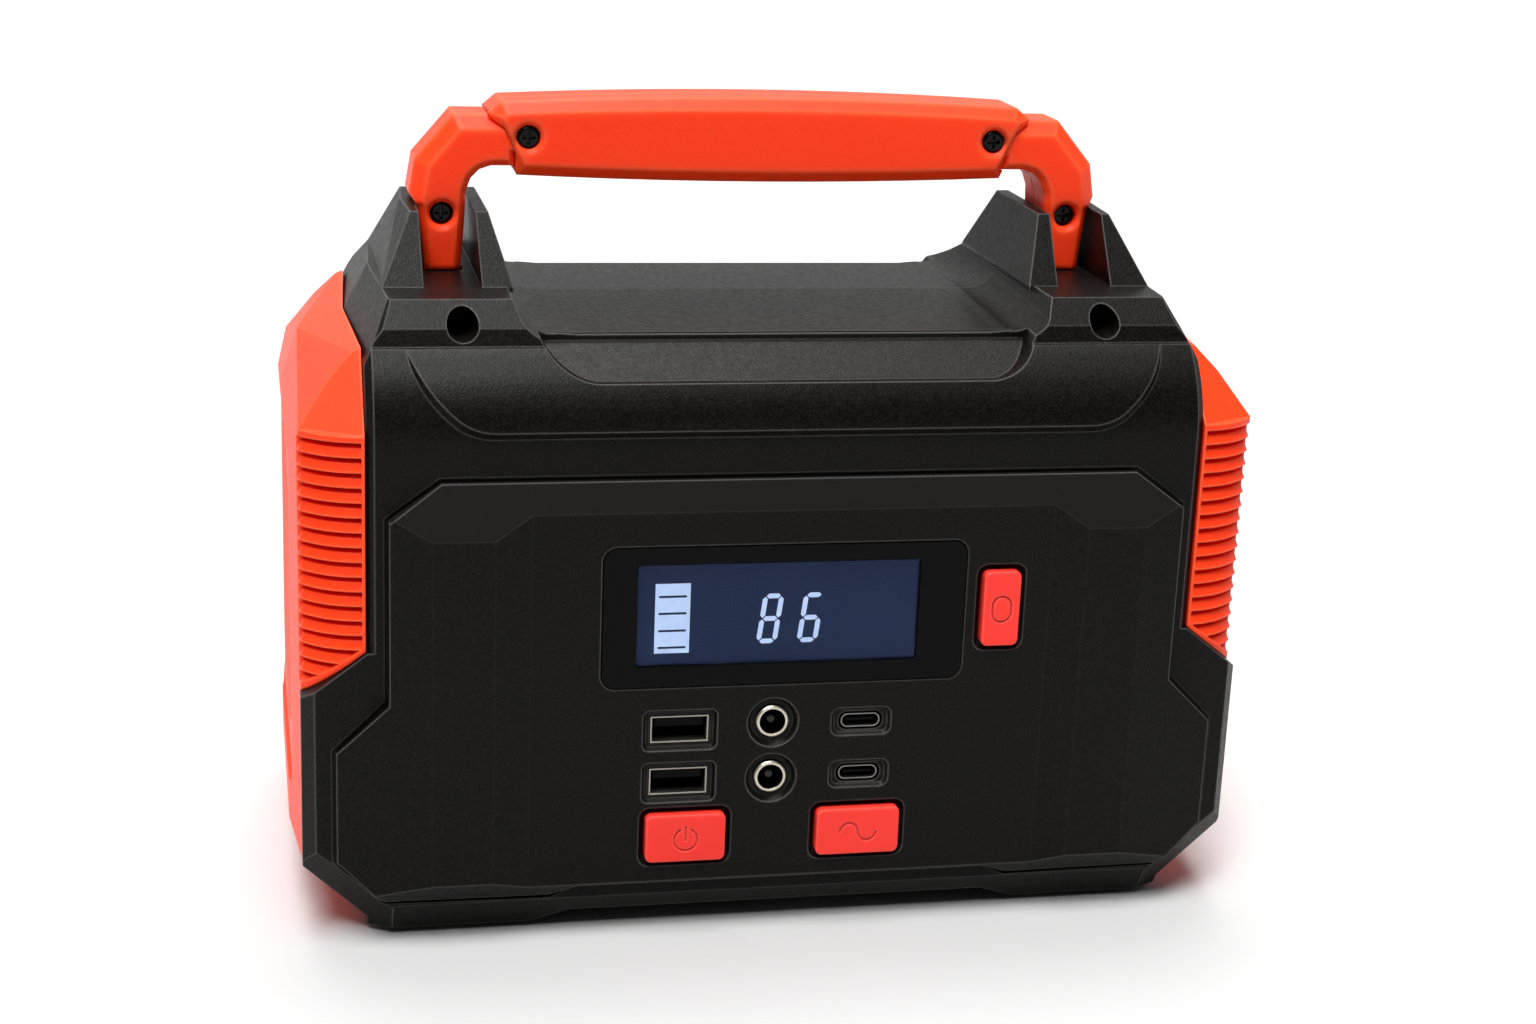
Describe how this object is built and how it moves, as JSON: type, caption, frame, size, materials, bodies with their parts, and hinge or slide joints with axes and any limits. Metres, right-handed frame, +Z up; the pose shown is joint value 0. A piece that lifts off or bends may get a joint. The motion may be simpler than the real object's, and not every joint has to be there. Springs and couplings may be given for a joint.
{
  "type": "portable power station",
  "caption": "Portable battery power station: split black case with orange ribbed end caps, fixed carrying handle, display, push buttons, low-voltage sockets, outlet, lamp and fan.",
  "frame": {"origin": "on the floor below the middle of the case", "axes": "+Z up, -Y towards the control panel, +X to the viewer's right, the long way of the case"},
  "size_m": [0.2198, 0.1252, 0.1821],
  "materials": {
    "black_shell": "fine moulded grain, satin",
    "orange_cover": "smooth satin moulding",
    "orange_handle": "smooth satin moulding",
    "black_screw": "black oxide",
    "steel_screw": "zinc plated",
    "rubber": "matt",
    "gloss_black": "polished",
    "clear_window": "clear",
    "lcd": "dark blue display",
    "white_plastic": "diffuse",
    "circuit_board": "solder mask",
    "plated_steel": "nickel plated",
    "socket_insulator": "matt",
    "red_button": "satin",
    "cell_wrap": "shrink sleeve",
    "nickel": "nickel strip",
    "holder_plastic": "matt",
    "aluminium": "extruded",
    "ferrite": "sintered",
    "fan_plastic": "satin",
    "brass": "stamped",
    "lens": "milky diffuser",
    "wire": "sleeved wire"
  },
  "bodies": {
    "housing": {"ac_contacts": "brass", "ac_outlet": "socket_insulator", "ac_switch": "socket_insulator", "battery_cells": "cell_wrap", "battery_leads": "wire", "bms_board": "circuit_board", "board_screws": "steel_screw", "busbars": "nickel", "capacitors": "gloss_black", "case_screws": "black_screw", "cell_holder_front": "holder_plastic", "cell_holder_rear": "holder_plastic", "control_board": "circuit_board", "cover_screws": "steel_screw", "dc_jack_lower": "plated_steel", "dc_jack_pins": "plated_steel", "dc_jack_upper": "plated_steel", "display_bezel": "gloss_black", "display_window": "clear_window", "fan_frame": "fan_plastic", "fan_screws": "steel_screw", "front_shell": "black_shell", "grip_front": "orange_handle", "grip_rear": "orange_handle", "handle_frame_front": "orange_handle", "handle_frame_rear": "orange_handle", "handle_screws": "black_screw", "heatsinks": "aluminium", "inverter_board": "circuit_board", "lamp_board": "circuit_board", "lamp_leds": "white_plastic", "lamp_lens": "lens", "lcd_backlight": "white_plastic", "lcd_holder": "white_plastic", "lcd_panel": "lcd", "left_side_cover": "orange_cover", "light_switch": "socket_insulator", "power_switch": "socket_insulator", "rear_shell": "black_shell", "right_side_cover": "orange_cover", "rubber_feet": "rubber", "tower_screws": "black_screw", "transformer": "ferrite", "usb_a_lower": "plated_steel", "usb_a_tongues": "socket_insulator", "usb_a_upper": "plated_steel", "usb_c_lower": "plated_steel", "usb_c_tongues": "socket_insulator", "usb_c_upper": "plated_steel"},
    "power_button_body": {"power_button": "red_button", "power_plunger": "white_plastic"},
    "ac_button_body": {"ac_button": "red_button", "ac_plunger": "white_plastic"},
    "light_button_body": {"light_button": "red_button", "light_plunger": "white_plastic"},
    "fan_rotor_body": {"fan_rotor": "fan_plastic"}
  },
  "joints": [
    {"name": "power_button_press", "type": "slide", "parent": "housing", "child": "power_button_body", "axis": [0, 1, 0], "range_m": [0, 0.0005], "stiffness_N_per_m": 2500},
    {"name": "ac_button_press", "type": "slide", "parent": "housing", "child": "ac_button_body", "axis": [0, 1, 0], "range_m": [0, 0.0005], "stiffness_N_per_m": 2500},
    {"name": "light_button_press", "type": "slide", "parent": "housing", "child": "light_button_body", "axis": [0, 1, 0], "range_m": [0, 0.0005], "stiffness_N_per_m": 2500},
    {"name": "fan_spin", "type": "hinge", "parent": "housing", "child": "fan_rotor_body", "pos_m": [-0.0832, 0, 0.075], "axis": [1, 0, 0], "continuous": true}
  ]
}
